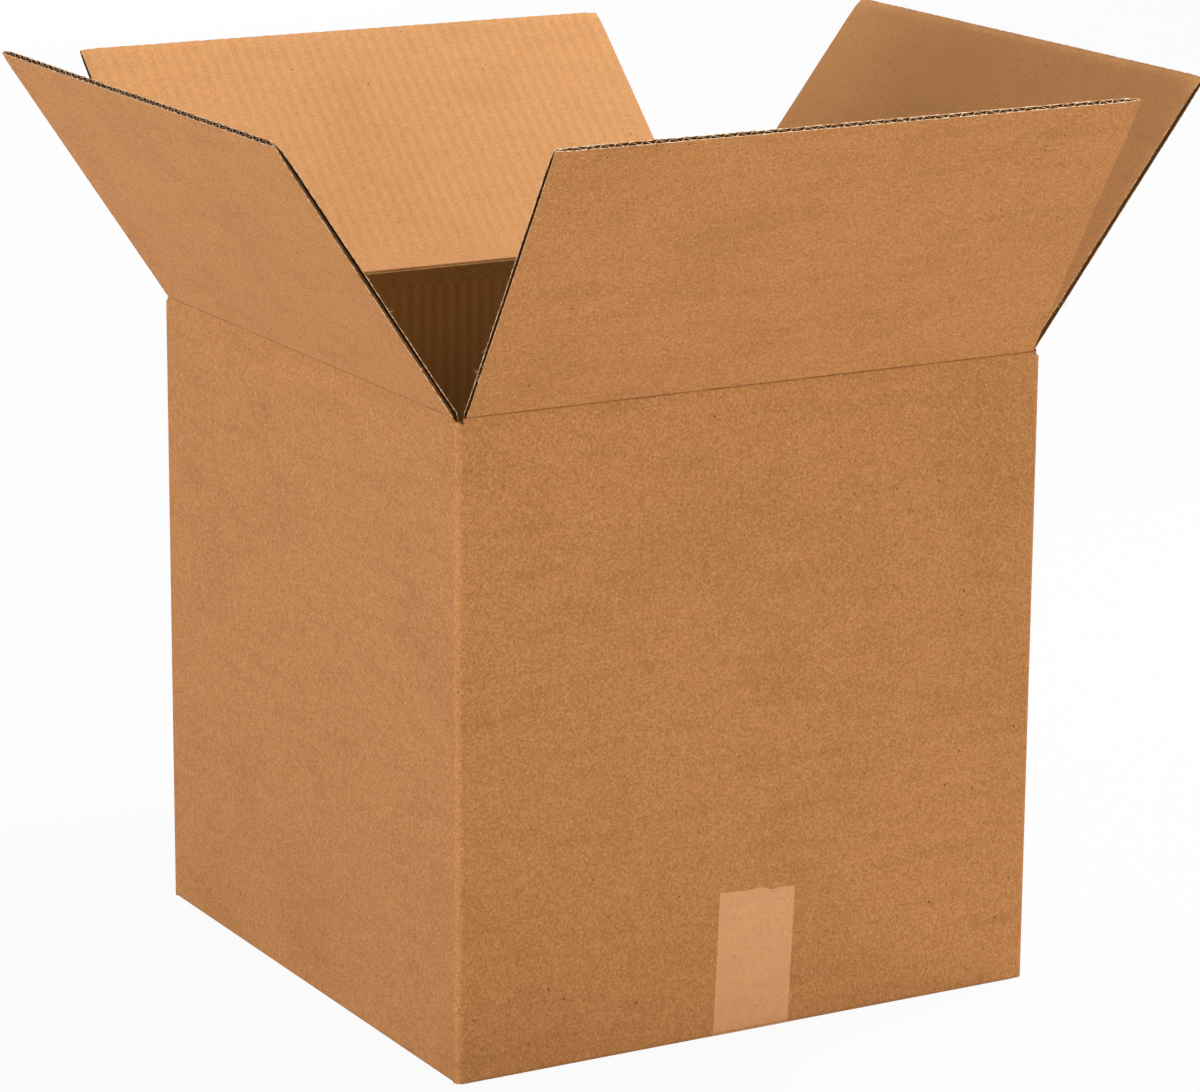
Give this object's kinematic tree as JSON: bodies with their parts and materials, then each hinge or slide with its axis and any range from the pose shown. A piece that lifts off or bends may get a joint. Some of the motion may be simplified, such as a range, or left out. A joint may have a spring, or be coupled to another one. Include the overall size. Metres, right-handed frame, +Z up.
{
  "type": "cardboard box",
  "caption": "Open corrugated carton of cube proportions: taped bottom, top flaps hinged on their creases and standing open.",
  "frame": {"origin": "centre of the carton's base, on the floor", "axes": "+Z up; -Y out of the front wall, which shows the tape's end in the picture; +X to the right, square to the taped seam"},
  "size_m": [0.5731, 0.5873, 0.5207],
  "materials": {
    "kraft_board": "uncoated brown kraft liner, matte, C flute",
    "packing_tape": "clear polypropylene film, slightly glossy, brown board seen through it"
  },
  "bodies": {
    "case": {"folded_case": "kraft_board", "bottom_tape": "packing_tape"},
    "front_flap": {"front_flap": "kraft_board"},
    "back_flap": {"back_flap": "kraft_board"},
    "left_flap": {"left_flap": "kraft_board"},
    "right_flap": {"right_flap": "kraft_board"}
  },
  "joints": [
    {"name": "front_crease", "type": "hinge", "parent": "case", "child": "front_flap", "pos_m": [0, -0.182, 0.36318], "axis": [1, 0, 0], "range_deg": [-121.5, 133.5]},
    {"name": "back_crease", "type": "hinge", "parent": "case", "child": "back_flap", "pos_m": [0, 0.182, 0.36351], "axis": [-1, 0, 0], "range_deg": [-136.5, 118.5]},
    {"name": "left_crease", "type": "hinge", "parent": "case", "child": "left_flap", "pos_m": [-0.182, 0, 0.366], "axis": [0, -1, 0], "range_deg": [-124, 131]},
    {"name": "right_crease", "type": "hinge", "parent": "case", "child": "right_flap", "pos_m": [0.182, 0, 0.366], "axis": [0, 1, 0], "range_deg": [-127.5, 127.5]}
  ]
}
